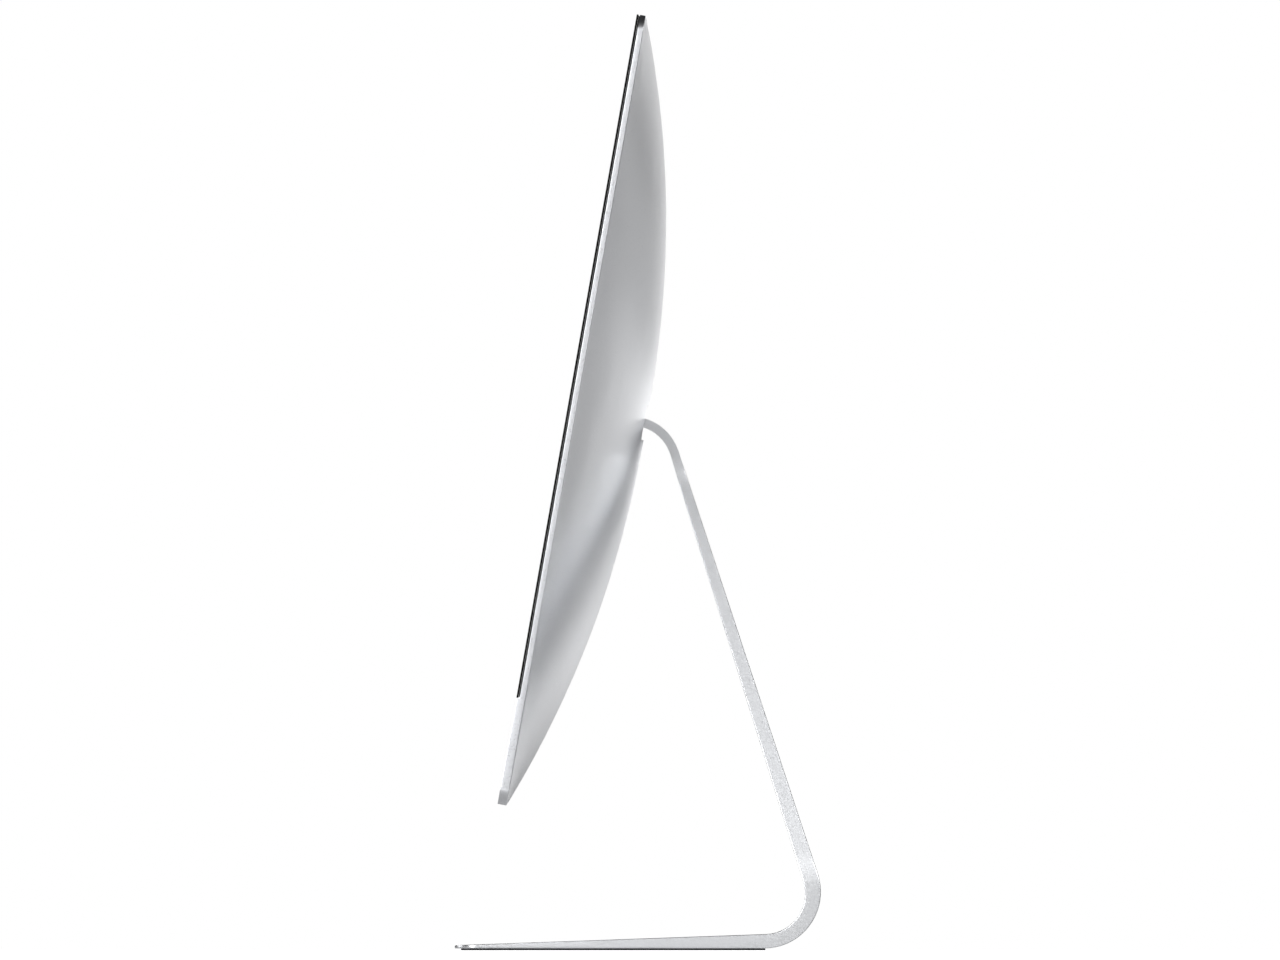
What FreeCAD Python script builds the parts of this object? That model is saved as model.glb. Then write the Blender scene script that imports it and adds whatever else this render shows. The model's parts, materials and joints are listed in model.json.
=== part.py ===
"""An all-in-one desktop computer: a thin domed screen housing on a bent aluminium stand.

Row frame: +Z up, the screen faces -Y, and +X is to the right of somebody who looks at the screen.
The origin is on the table, in the middle of the stand's depth.  Lengths are millimetres.

The screen housing is drawn in a frame of its own, the panel frame: x to the right, y from the
front glass towards the back, z up along the glass, with its origin at the middle of the front
face's lower edge.  PANEL places that frame at the rest tilt.  What lies along the panel at rest on
the stand, such as the hinge leaf, is drawn in the panel frame too.
"""

import FreeCAD, Part
import math
import os
import re

import Sketcher
from FreeCAD import Placement, Rotation, Vector

doc = FreeCAD.newDocument("all_in_one")
sheet = doc.addObject("Spreadsheet::Sheet", "sheet")
scratch = doc.addObject("Spreadsheet::Sheet", "scratch")
ALIASES = []
PIECES = []

ALONG = {
    "x": Rotation(Vector(0, 1, 0), 90),
    "y": Rotation(Vector(1, 0, 0), -90),
    "z": Rotation(),
}
FACING_FRONT = Rotation(Vector(1, 0, 0), 90)


# ---------------------------------------------------------------- helpers

def dims(**values):
    """Adds named driving dimensions to the sheet, one row each."""
    for alias, value in values.items():
        ALIASES.append(alias)
        row = len(ALIASES)
        sheet.set(f"A{row}", alias)
        sheet.set(f"B{row}", str(value))
        sheet.setAlias(f"B{row}", alias)
    sheet.recompute()


def formula(text):
    """An expression whose aliases are pointed at the sheet."""
    return re.sub(r"[a-z_]+", lambda m: f"sheet.{m[0]}" if m[0] in ALIASES else m[0], str(text))


def value_of(text):
    """The present value of an expression of aliases, worked out in a cell of the scratch sheet."""
    scratch.set("A1", f"={formula(text)}")
    scratch.recompute()
    return float(scratch.get("A1"))


def bind(thing, **expressions):
    for prop, text in expressions.items():
        thing.setExpression(prop, formula(text))
    return thing


def move(thing, at):
    """Binds the position of a thing to three expressions."""
    for axis, text in zip("xyz", at):
        thing.setExpression(f"Placement.Base.{axis}", formula(text))
    return thing


def block(name, corner, extent):
    box = doc.addObject("Part::Box", name)
    bind(box, Length=extent[0], Width=extent[1], Height=extent[2])
    return move(box, corner)


def slab_at(name, middle_x, front, middle_z, wide, deep, tall):
    """A block given by the middle of its x and z sides and by its front face."""
    corner = (f"{middle_x} - ({wide}) / 2", front, f"{middle_z} - ({tall}) / 2")
    return block(name, corner, (wide, deep, tall))


def rod(name, start, radius, length, along="y"):
    cylinder = doc.addObject("Part::Cylinder", name)
    cylinder.Placement = Placement(Vector(), ALONG[along])
    bind(cylinder, Radius=radius, Height=length)
    return move(cylinder, start)


def fuse(name, *things):
    result = doc.addObject("Part::MultiFuse", name)
    result.Shapes = list(things)
    return result


def cut(name, base, *tools):
    result = doc.addObject("Part::Cut", name)
    result.Base = base
    result.Tool = tools[0] if len(tools) == 1 else fuse(name + "_tools", *tools)
    return result


def common(name, one, other):
    result = doc.addObject("Part::Common", name)
    result.Base = one
    result.Tool = other
    return result


def fixed(name, shape):
    """A document object that holds a shape made in code."""
    feature = doc.addObject("Part::Feature", name)
    feature.Shape = shape
    return feature


def piece(label, *things, frame=None):
    """Declares a finished sub-part: one thing, or several separate solids that share a node."""
    group = doc.addObject("Part::Compound", label)
    group.Links = list(things)
    group.Label = label
    group.Placement = frame or PANEL
    PIECES.append(group)
    return group


def new_sketch(body, name, role):
    sketch = body.newObject("Sketcher::SketchObject", name)
    plane = next(f for f in body.Origin.OriginFeatures if f.Role == role)
    sketch.AttachmentSupport = (plane, [""])
    sketch.MapMode = "FlatFace"
    return sketch


def constrain(sketch, kind, *where, to=None):
    """Adds a constraint, driven by the expression to if there is one."""
    if to is None:
        return sketch.addConstraint(Sketcher.Constraint(kind, *where))
    value = value_of(to)
    if kind == "Angle":
        value = math.radians(value)
        to = f"({to}) * 1 deg"
    index = sketch.addConstraint(Sketcher.Constraint(kind, *where, value))
    sketch.setExpression(f"Constraints[{index}]", formula(to))
    return index


def outline(sketch, corners):
    """Draws a closed loop through (point, radius) corners; returns its lines and its corner arcs."""
    count = len(corners)
    ends, arcs = [], []
    for i, (point, radius) in enumerate(corners):
        before = (corners[i - 1][0] - point).normalize()
        after = (corners[(i + 1) % count][0] - point).normalize()
        if not radius:
            ends.append((point, point))
            arcs.append(None)
            continue
        half = before.getAngle(after) / 2
        centre = point + (before + after).normalize() * (radius / math.sin(half))
        reach = radius / math.tan(half)
        enter, leave = point + before * reach, point + after * reach
        left_turn = before.cross(after).z < 0
        first, last = (enter, leave) if left_turn else (leave, enter)
        angles = [math.atan2(p.y - centre.y, p.x - centre.x) for p in (first, last)]
        circle = Part.Circle(centre, Vector(0, 0, 1), radius)
        arc = sketch.addGeometry(Part.ArcOfCircle(circle, *angles), False)
        ends.append((enter, leave))
        arcs.append((arc, 1 if left_turn else 2))
    lines = [
        sketch.addGeometry(Part.LineSegment(ends[i][1], ends[(i + 1) % count][0]), False)
        for i in range(count)
    ]
    for i, arc in enumerate(arcs):
        if arc is None:
            constrain(sketch, "Coincident", lines[i - 1], 2, lines[i], 1)
            continue
        number, entry = arc
        constrain(sketch, "Tangent", lines[i - 1], 2, number, entry)
        constrain(sketch, "Tangent", number, 3 - entry, lines[i], 1)
    return lines, [arc[0] for arc in arcs if arc]


def add_pad(body, name, sketch, length, side="One side"):
    pad = body.newObject("PartDesign::Pad", name)
    pad.Profile = sketch
    pad.SideType = side
    bind(pad, Length=length)
    body.Tip = pad
    return pad


def plate(name, width, height, radius, back, thickness, middle=("0", "0"), square_foot=False):
    """A round-cornered plate along the panel; back is its rear face, and it grows to the front.

    Its two lower corners are square where square_foot is set.
    """
    body = doc.addObject("PartDesign::Body", name)
    sketch = new_sketch(body, name + "_outline", "XY_Plane")
    x, z, r = value_of(width) / 2, value_of(height) / 2, value_of(radius)
    foot_r = 0 if square_foot else r
    corners = [((-x, -z), foot_r), ((x, -z), foot_r), ((x, z), r), ((-x, z), r)]
    lines, arcs = outline(sketch, [(Vector(*point, 0), turn) for point, turn in corners])
    bottom, right, top, left = lines
    for line in (bottom, top):
        constrain(sketch, "Horizontal", line)
    for line in (left, right):
        constrain(sketch, "Vertical", line)
    for arc in arcs[1:]:
        constrain(sketch, "Equal", arcs[0], arc)
    constrain(sketch, "Radius", arcs[0], to=radius)
    constrain(sketch, "DistanceX", left, 2, right, 1, to=width)
    constrain(sketch, "DistanceY", bottom, 1, top, 2, to=height)
    constrain(sketch, "DistanceX", -1, 1, right, 1, to=f"({width}) / 2")
    constrain(sketch, "DistanceY", -1, 1, top, 1, to=f"({height}) / 2")
    add_pad(body, name + "_pad", sketch, thickness)
    body.Placement = Placement(Vector(), FACING_FRONT)
    return move(body, (middle[0], back, middle[1]))


# ---------------------------------------------------------------- overall sizes and frames

dims(
    panel_width=650, panel_height=446.6, corner_radius=9, edge=5, bulge=40.1, wall=2,
    chin_height=60, chin_wall=1.5, glass_seat=1.8, lip=4, tilt=10,
    hinge_y=-15.25, hinge_z=297.24, hinge_depth=24, hinge_height=223.3,
    over=1, round_end=0.49, least_corner=0.2,
)

TILT = Rotation(Vector(1, 0, 0), -value_of("tilt"))
HINGE = Vector(0, value_of("hinge_y"), value_of("hinge_z"))
HINGE_IN_PANEL = Vector(0, value_of("hinge_depth"), value_of("hinge_height"))
PANEL = Placement(HINGE - TILT.multVec(HINGE_IN_PANEL), TILT)
ROW = Placement()


# ---------------------------------------------------------------- the domed back

DOME_POWER = 2.2
DOME_SPANS_X = 30
DOME_SPANS_Z = 26
DOME_MARGIN = 12
DOME_CLEARANCE = 0.4


def fall(offset, half):
    """How much of the bulge is left at an offset from the middle; past the edge it goes on straight."""
    share = abs(offset) / half
    if share <= 1:
        return 1 - share ** DOME_POWER
    return -DOME_POWER * (share - 1)


def dome_y(x, z):
    """How far the back stands behind the front face at a place on the panel."""
    half_x, half_z = value_of("panel_width") / 2, value_of("panel_height") / 2
    across, along = fall(x, half_x), fall(z - half_z, half_z)
    both = across * along if across > 0 or along > 0 else -across * along
    return value_of("edge") + value_of("bulge") * both


def behind_dome(name, inset):
    """All the space behind a copy of the dome that is set in by some depth: a tool to trim with."""
    half, height = value_of("panel_width") / 2, value_of("panel_height")
    xs = [(half + DOME_MARGIN) * (2 * i / DOME_SPANS_X - 1) for i in range(DOME_SPANS_X + 1)]
    span = (height + 2 * DOME_MARGIN) / DOME_SPANS_Z
    zs = [k * span - DOME_MARGIN for k in range(DOME_SPANS_Z + 1)]
    surface = Part.BSplineSurface()
    surface.interpolate([[Vector(x, dome_y(x, z) - inset, z) for z in zs] for x in xs])
    return fixed(name, surface.toShape().extrude(Vector(0, 2 * value_of("bulge"), 0)))


behind_skin = behind_dome("behind_skin", 0)
behind_wall = behind_dome("behind_wall", value_of("wall"))
behind_clearance = behind_dome("behind_clearance", value_of("wall") + DOME_CLEARANCE)


def flush(name, thing):
    """Trims a thing to the outer surface of the dome."""
    return cut(name, thing, behind_skin)


def inside(name, thing):
    """Trims a thing to lie inside the housing's wall, with a little clearance."""
    return cut(name, thing, behind_clearance)


# ---------------------------------------------------------------- sockets: name, x, kind

dims(
    port_z=100, port_fit=0.15, port_shell=0.5, port_board=10.7,
    network_x=-92, network_wide=9.2, network_tall=13.2, network_corner=0.8,
    fast_x=-110, fast_pitch=-14, fast_wide=5.6, fast_tall=8.4, fast_corner=1.4,
    usb_x=-139, usb_pitch=-14.5, usb_wide=6.4, usb_tall=14, usb_corner=0.8,
    card_x=-198, card_wide=3.6, card_tall=26, card_corner=0.8,
    jack_x=-213, jack_hole=2.6, jack_barrel=2.45, jack_bore=1.8,
)
USB_PORTS = 4
FAST_PORTS = 2
PORTS = [("network", "network_x", "network"), ("card", "card_x", "card")]
PORTS += [(f"usb_{i}", f"usb_x + {i} * usb_pitch", "usb") for i in range(USB_PORTS)]
PORTS += [(f"fast_{i}", f"fast_x + {i} * fast_pitch", "fast") for i in range(FAST_PORTS)]


def port_plate(name, port, back, thickness, shrink="0"):
    """A plate with a port's outline, set in all round by shrink."""
    _, x, kind = port
    wide, tall, corner = (f"{kind}_{side} - 2 * ({shrink})" for side in ("wide", "tall", "corner"))
    corner = f"max({corner}; least_corner)"
    return plate(name, wide, tall, corner, back, thickness, (x, "port_z"))


# ---------------------------------------------------------------- rear housing

dims(
    housing_deep=56, cavity_corner=6, ledge_from=56, ledge_tall=9, ledge_thick=1.6,
    slot_width=150, slot_tall=19.4, slot_corner=6,
    door_width=144, door_tall=58, door_corner=6, door_z=171, door_gap=0.35,
    inlet_z=108, inlet_hole=17,
    power_x=-252, power_z=74, power_hole=6.6, power_hole_front=2.5,
    release_z=133.6, release_wide=12, release_tall=5, release_gap=0.2,
    lock_x=-236, lock_z=96, lock_wide=3.2, lock_tall=7.4,
    boss_radius=5, boss_x=88, boss_low=193, boss_high=253, boss_front=11.5, boss_screw=1.6,
    boss_screw_deep=11,
    vent_wide=9, vent_pitch=13, vent_front=2, vent_thick=1.3, vent_first=52, vent_middle=1,
    vent_deep=8,
    mic_hole=0.8, mic_z=421,
)
VENTS_PER_SIDE = 19

# Posts on the inside of the back, as (x, z): the boards, the fan and the drive are screwed to them.
dims(post_radius=3, post_screw=1.3, screw_grip=2, fan_back=19.2, drive_back=26.7)
BOARD_POSTS = (("-84", "90"), ("-256", "90"), ("-84", "178"), ("-256", "178"), ("-136", "178"))
SUPPLY_POSTS = (("256", "98"), ("110", "98"), ("256", "244"), ("110", "180"))
POSTS = {
    "port_board": BOARD_POSTS + SUPPLY_POSTS,
    "fan_back": (("-138", "360"), ("-98", "291"), ("-178", "291")),
    "drive_back": (("-60", "276"), ("60", "276"), ("-60", "350"), ("60", "350")),
}


def rear_housing():
    """The aluminium back: thin straight edges, a dome, and the chin below the glass."""
    middle = ("0", "panel_height / 2")
    envelope = plate("envelope", "panel_width", "panel_height", "corner_radius",
                     "housing_deep", "housing_deep", middle)
    hollow = plate("hollow", "panel_width - 2 * lip", "panel_height - 2 * lip", "cavity_corner",
                   "housing_deep", "housing_deep - chin_wall", middle)
    hollow = cut("hollow_under_wall", hollow, behind_wall)
    seat = block("glass_seat_cut", ("-panel_width", "-over", "chin_height"),
                 ("2 * panel_width", "glass_seat + over", "panel_height"))
    ledge = block("chin_ledge", ("lip - panel_width / 2", "glass_seat", "ledge_from"),
                  ("panel_width - 2 * lip", "ledge_thick", "ledge_tall"))
    bosses = []
    for i, side in enumerate(("-boss_x", "boss_x")):
        for level in ("boss_low", "boss_high"):
            bosses.append(rod(f"boss_{i}_{level}", (side, "boss_front", level),
                              "boss_radius", "housing_deep - boss_front"))
    posts, post_holes = [], []
    for front, places in POSTS.items():
        for i, (x, z) in enumerate(places):
            posts.append(rod(f"post_{front}_{i}", (x, front, z), "post_radius",
                             f"housing_deep - {front}"))
            post_holes.append(rod(f"post_hole_{front}_{i}", (x, f"{front} - over", z), "post_screw",
                                  "screw_grip + over"))
    shell = fuse("shell", cut("shell_hollowed", envelope, hollow, seat), ledge, *bosses, *posts)
    shell = flush("shell_domed", shell)
    through = ("housing_deep", "housing_deep - boss_front")
    openings = [
        plate("slot_cut", "slot_width", "slot_tall", "slot_corner", *through, ("0", "hinge_height")),
        plate("door_cut", "door_width", "door_tall", "door_corner", *through, ("0", "door_z")),
        plate("release_cut", "release_wide", "release_tall", "release_tall * round_end", *through,
              ("0", "release_z")),
        rod("inlet_cut", ("0", "boss_front", "inlet_z"), "inlet_hole", "housing_deep"),
        rod("power_cut", ("power_x", "power_hole_front", "power_z"), "power_hole", "housing_deep"),
        slab_at("lock_cut", "lock_x", "boss_front", "lock_z", "lock_wide", "housing_deep", "lock_tall"),
        rod("jack_cut", ("jack_x", "boss_front", "port_z"), "jack_hole", "housing_deep"),
        rod("mic_cut", ("0", "edge", "mic_z"), "mic_hole", "housing_deep"),
    ]
    openings += [port_plate(f"{port[0]}_cut", port, *through) for port in PORTS]
    openings += post_holes
    for side in ("-", ""):
        for i in range(VENTS_PER_SIDE):
            openings.append(slab_at(
                f"vent_cut_{'left' if side else 'right'}_{i}",
                f"{side}(vent_first + {i} * vent_pitch)", "vent_front", "vent_middle",
                "vent_wide", "vent_thick", "vent_deep"))
    for i, side in enumerate(("-boss_x", "boss_x")):
        for level in ("boss_low", "boss_high"):
            openings.append(rod(f"boss_hole_{i}_{level}", (side, "boss_front - over", level),
                                "boss_screw", "boss_screw_deep + over"))
    piece("rear_housing", cut("shell_opened", shell, *openings))


# ---------------------------------------------------------------- display

dims(
    glass_thick=1.2, mask_thick=0.1, mask_inset=0.5, glass_gap=0.15, gasket_inset=0.8, gasket_width=2.6,
    view_width=597, view_height=336, camera_z=433.5, camera_window=2,
    lcd_width=610, lcd_height=350, lcd_thick=1.5, lcd_air=0.05,
    tray_width=556, tray_height=300, tray_thick=3.4, tray_corner=4,
    display_z=253.3,
    camera_x=0, camera_wide=16, camera_tall=7, camera_thick=2.6, lens_radius=1.4, lens_front=2,
    lens_thick=0.9,
    sensor_x=14, sensor_wide=3.2, sensor_thick=1,
)


def display():
    glass_middle = ("0", "(chin_height + panel_height + glass_gap) / 2")
    glass = ("panel_width", "panel_height - chin_height - glass_gap")
    piece("front_glass", plate("glass", *glass, "corner_radius", "glass_thick", "glass_thick",
                               glass_middle, square_foot=True))

    mask_back = "glass_thick + mask_thick"
    mask = plate("mask", *(f"{side} - 2 * mask_inset" for side in glass),
                 "corner_radius - mask_inset", mask_back, "mask_thick", glass_middle, square_foot=True)
    view = slab_at("view_window", "0", "0", "display_z", "view_width", "edge", "view_height")
    camera = rod("camera_window", ("camera_x", "0", "camera_z"), "camera_window", "edge")
    sensor = rod("sensor_window", ("sensor_x", "0", "camera_z"), "sensor_wide / 2", "edge")
    piece("black_border_print", cut("mask_opened", mask, view, camera, sensor))

    gasket_thick = "glass_seat - glass_thick - mask_thick"
    ring = [f"{side} - 2 * gasket_inset" for side in glass]
    outer = plate("gasket_outer", *ring, "corner_radius - gasket_inset", "glass_seat",
                  gasket_thick, glass_middle, square_foot=True)
    inner = plate("gasket_inner", *(f"{side} - 2 * gasket_width" for side in ring), "cavity_corner",
                  "edge", "edge", glass_middle)
    piece("glass_adhesive_frame", cut("gasket", outer, inner))

    lcd_front = "glass_thick + mask_thick + lcd_air"
    lcd = slab_at("lcd", "0", lcd_front, "display_z", "lcd_width", "lcd_thick", "lcd_height")
    piece("lcd_panel", lcd)
    tray_back = f"{lcd_front} + lcd_thick + tray_thick"
    piece("backlight_tray", plate("tray", "tray_width", "tray_height", "tray_corner", tray_back,
                                  "tray_thick", ("0", "display_z")))

    module = slab_at("camera_block", "camera_x", "glass_seat", "camera_z", "camera_wide",
                     "camera_thick", "camera_tall")
    lens = rod("lens_disc", ("camera_x", "lens_front", "camera_z"), "lens_radius", "lens_thick")
    piece("camera_module", cut("camera_block_bored", module,
                               rod("camera_seat", ("camera_x", "0", "camera_z"), "lens_radius",
                                   "glass_seat + camera_thick / 2")))
    piece("camera_lens", lens)
    piece("light_sensor", slab_at("sensor", "sensor_x", "glass_seat", "camera_z", "sensor_wide",
                                  "sensor_thick", "sensor_wide"))


# ---------------------------------------------------------------- hinge

dims(
    shaft_radius=5, shaft_half=94, shaft_fit=0.05,
    ear_x=79, ear_thick=5, ear_radius=11, bracket_thick=3, bracket_wide=196, bracket_low=186,
    bracket_tall=74, bracket_corner=8, bracket_front=8.5, screw_radius=1.5, screw_head=3.2,
    screw_head_thick=1.6, screw_reach=8,
    leaf_half=50, leaf_front=15, leaf_back=40, leaf_half_tall=8, tongue_front=31,
    tongue_thick=5.1, leaf_screw_y=35.5, leaf_screw_pitch=26, leaf_screw_radius=2,
    leaf_screw_fit=0.1, leaf_screw_sink=0.5, relief_side=4, relief_half=14,
    washer_radius=9.5, washer_thick=1.2, washer_gap=0.1, nut_radius=8.5, nut_thick=5,
    spring_wire=1.4, spring_radius=7.6, spring_pitch=3.4, spring_turns=6, spring_gap=3.4,
)
WASHERS_PER_SIDE = 3
LEAF_SCREWS = 4
LEAF_LOW = "hinge_height - leaf_half_tall"


def mirrored_x(name, thing):
    mirror = doc.addObject("Part::Mirroring", name)
    mirror.Source = thing
    mirror.Normal = Vector(1, 0, 0)
    return mirror


def leaf_screw_x(i):
    return f"({i} - {(LEAF_SCREWS - 1) / 2}) * leaf_screw_pitch"


def leaf_screw_hole(name, i):
    """The hole of one clamp screw, through the whole height of the leaf."""
    return rod(name, (leaf_screw_x(i), "leaf_screw_y", f"{LEAF_LOW} - over"), "leaf_screw_radius",
               "2 * (leaf_half_tall + over)", "z")


def hinge():
    axis = ("hinge_depth", "hinge_height")
    piece("hinge_shaft", rod("shaft", ("-shaft_half", *axis), "shaft_radius", "2 * shaft_half", "x"))

    # The bracket is screwed to four bosses of the housing and carries the shaft in two ears.
    base = plate("bracket_base", "bracket_wide", "bracket_tall", "bracket_corner",
                 "bracket_front + bracket_thick", "bracket_thick",
                 ("0", "bracket_low + bracket_tall / 2"))
    things = [base]
    for side, start in (("left", "-ear_x - ear_thick"), ("right", "ear_x")):
        things.append(block(f"ear_web_{side}", (start, "bracket_front", "hinge_height - ear_radius"),
                            ("ear_thick", "hinge_depth - bracket_front", "2 * ear_radius")))
        things.append(rod(f"ear_eye_{side}", (start, *axis), "ear_radius", "ear_thick", "x"))
    bore = rod("ear_bore", ("-shaft_half", *axis), "shaft_radius + shaft_fit", "2 * shaft_half", "x")
    relief = block("leaf_relief", ("-leaf_half - relief_side", "bracket_front - over",
                                   "hinge_height - relief_half"),
                   ("2 * (leaf_half + relief_side)", "bracket_thick + 2 * over", "2 * relief_half"))
    holes, screws = [], []
    for i, side in enumerate(("-boss_x", "boss_x")):
        for level in ("boss_low", "boss_high"):
            holes.append(rod(f"bracket_hole_{i}_{level}", (side, "0", level), "boss_screw",
                             "bracket_front + bracket_thick"))
            head = rod(f"screw_head_{i}_{level}", (side, "bracket_front - screw_head_thick", level),
                       "screw_head", "screw_head_thick")
            shank = rod(f"screw_shank_{i}_{level}", (side, "bracket_front", level),
                        "screw_radius", "screw_reach")
            screws.append(fuse(f"bracket_screw_{i}_{level}", head, shank))
    bracket = cut("bracket_cut", fuse("bracket_fused", *things), bore, relief, *holes)
    piece("hinge_bracket", bracket)
    piece("bracket_screws", *screws)

    # The leaf is clamped on the shaft and holds the stand's tongue in a slot.
    leaf = block("leaf_block", ("-leaf_half", "leaf_front", LEAF_LOW),
                 ("2 * leaf_half", "leaf_back - leaf_front", "2 * leaf_half_tall"))
    shaft_hole = rod("leaf_bore", ("-shaft_half", *axis), "shaft_radius", "2 * shaft_half", "x")
    tongue = block("tongue_slot", ("-leaf_half - over", "tongue_front",
                                   "hinge_height - tongue_thick / 2"),
                   ("2 * (leaf_half + over)", "housing_deep", "tongue_thick"))
    cuts, clamps = [shaft_hole, tongue], []
    for i in range(LEAF_SCREWS):
        cuts.append(leaf_screw_hole(f"leaf_hole_{i}", i))
        clamps.append(rod(f"leaf_screw_{i}",
                          (leaf_screw_x(i), "leaf_screw_y", f"{LEAF_LOW} + leaf_screw_sink"),
                          "leaf_screw_radius - leaf_screw_fit", "2 * leaf_half_tall - leaf_screw_sink",
                          "z"))
    piece("hinge_leaf", cut("leaf", leaf, *cuts))
    piece("leaf_clamp_screws", *clamps)

    # Friction washers and a nut stand on each end of the shaft, outside the ears.
    washers, nuts = [], []
    for side, sign in (("left", "-"), ("right", "")):
        for i in range(WASHERS_PER_SIDE):
            near = f"{sign}(ear_x + ear_thick + washer_gap + {i} * (washer_thick + washer_gap)"
            start = near + (" + washer_thick)" if sign else ")")
            disc = rod(f"washer_disc_{side}_{i}", (start, *axis), "washer_radius", "washer_thick", "x")
            hole = rod(f"washer_hole_{side}_{i}", ("-2 * shaft_half", *axis), "shaft_radius",
                       "4 * shaft_half", "x")
            washers.append(cut(f"washer_{side}_{i}", disc, hole))
        stack = f"{WASHERS_PER_SIDE} * (washer_thick + washer_gap)"
        start = f"{sign}(ear_x + ear_thick + washer_gap + {stack}" + (" + nut_thick)" if sign else ")")
        nut = doc.addObject("Part::Prism", f"nut_{side}")
        nut.Polygon = 6
        nut.Placement = Placement(Vector(), ALONG["x"])
        bind(nut, Circumradius="nut_radius", Height="nut_thick")
        move(nut, (start, *axis))
        thread = rod(f"nut_hole_{side}", ("-2 * shaft_half", *axis), "shaft_radius",
                     "4 * shaft_half", "x")
        nuts.append(cut(f"nut_bored_{side}", nut, thread))
    piece("friction_washers", *washers)
    piece("shaft_nuts", *nuts)

    # Each counterbalance spring is a coil of round wire about the shaft, between leaf and ear.
    helix = doc.addObject("Part::Helix", "spring_path")
    helix.Placement = Placement(Vector(), ALONG["x"])
    bind(helix, Radius="spring_radius", Pitch="spring_pitch", Height="spring_pitch * spring_turns")
    move(helix, ("leaf_half + spring_gap", *axis))
    wire = doc.addObject("Part::Circle", "spring_wire_section")
    bind(wire, Radius="spring_wire")
    wire.Placement = Placement(Vector(), ALONG["x"] * FACING_FRONT)
    move(wire, ("leaf_half + spring_gap", "hinge_depth", "hinge_height - spring_radius"))
    coil = doc.addObject("Part::Sweep", "spring_coil")
    coil.Sections = [wire]
    coil.Spine = (helix, [])
    coil.Solid = True
    coil.Frenet = True
    piece("counterbalance_springs", coil, mirrored_x("spring_coil_left", coil))


# ---------------------------------------------------------------- memory bay

dims(
    bay_low=139, bay_high=206, bay_half=75, bay_front=12.6, bay_sheet=1,
    module_long=67.6, module_tall=30, module_thick=1.2, module_x=35, module_z=146,
    module_y=18, module_pitch=7.5, chip_wide=11, chip_tall=13, chip_thick=1, chip_z=11, chip_pitch=15,
    socket_low=141, socket_tall=9, socket_long=69, socket_thick=5.6,
    lever_x=71.6, lever_z=150, lever_y=30, lever_thick=1.6, lever_wide=4.4, lever_long=34,
    lever_pin=1.3, lever_fit=0.08, grip_tall=5, grip_thick=2.2,
    tab_x=40, tab_wide=14, tab_tall=3, tab_thick=1.4, tab_front=40.6, tab_root=6, tab_foot=3.4,
    tab_foot_tall=5,
)
BANKS = 2
SLOTS_PER_BANK = 2
CHIPS_PER_SIDE = 4
LEVERS = (("left", "-lever_x"), ("right", "lever_x"))


def memory_bay():
    box = block("bay_outside", ("-bay_half", "bay_front", "bay_low"),
                ("2 * bay_half", "housing_deep", "bay_high - bay_low"))
    hollow = block("bay_inside",
                   ("bay_sheet - bay_half", "bay_front + bay_sheet", "bay_low + bay_sheet"),
                   ("2 * (bay_half - bay_sheet)", "housing_deep", "bay_high - bay_low - 2 * bay_sheet"))
    pegs = [
        rod(f"lever_peg_{side}", (x, "bay_front + bay_sheet / 2", "lever_z"), "lever_pin",
            "lever_y + lever_thick - bay_front - bay_sheet / 2")
        for side, x in LEVERS
    ]
    tub = cut("bay_tub", box, hollow)
    piece("memory_bay_tray", fuse("bay_with_pegs", inside("bay_trimmed", tub), *pegs))

    sockets, modules = [], []
    for bank in range(BANKS):
        x = f"({bank} * 2 - 1) * module_x"
        for row in range(SLOTS_PER_BANK):
            y = f"module_y + {row} * module_pitch"
            tag = f"{bank}_{row}"
            body = slab_at(f"socket_body_{tag}", x, f"{y} + module_thick / 2 - socket_thick / 2",
                           "socket_low + socket_tall / 2", "socket_long", "socket_thick", "socket_tall")
            groove = slab_at(f"socket_groove_{tag}", x, y, "module_z + module_tall / 2",
                             "module_long", "module_thick", "module_tall")
            sockets.append(cut(f"socket_{tag}", body, groove))
            board = slab_at(f"module_board_{tag}", x, y, "module_z + module_tall / 2",
                            "module_long", "module_thick", "module_tall")
            chips = [
                slab_at(f"chip_{tag}_{n}", f"{x} + ({n} - {(CHIPS_PER_SIDE - 1) / 2}) * chip_pitch",
                        f"{y} + module_thick", "module_z + chip_z + chip_tall / 2",
                        "chip_wide", "chip_thick", "chip_tall")
                for n in range(CHIPS_PER_SIDE)
            ]
            modules.append(fuse(f"module_{tag}", board, *chips))
    piece("memory_sockets", *sockets)
    piece("memory_modules", *modules)

    for side, x in LEVERS:
        arm = slab_at(f"lever_arm_{side}", x, "lever_y", "lever_z + lever_long / 2",
                      "lever_wide", "lever_thick", "lever_long")
        eye = rod(f"lever_eye_{side}", (x, "lever_y", "lever_z"), "lever_wide / 2", "lever_thick")
        hole = rod(f"lever_hole_{side}", (x, "0", "lever_z"), "lever_pin + lever_fit", "housing_deep")
        grip = slab_at(f"lever_grip_{side}", x, "lever_y + lever_thick",
                       "lever_z + lever_long - grip_tall / 2", "lever_wide", "grip_thick", "grip_tall")
        solid = fuse(f"lever_solid_{side}", arm, eye, grip)
        piece(f"memory_lever_{side}", cut(f"lever_{side}", solid, hole))


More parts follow.
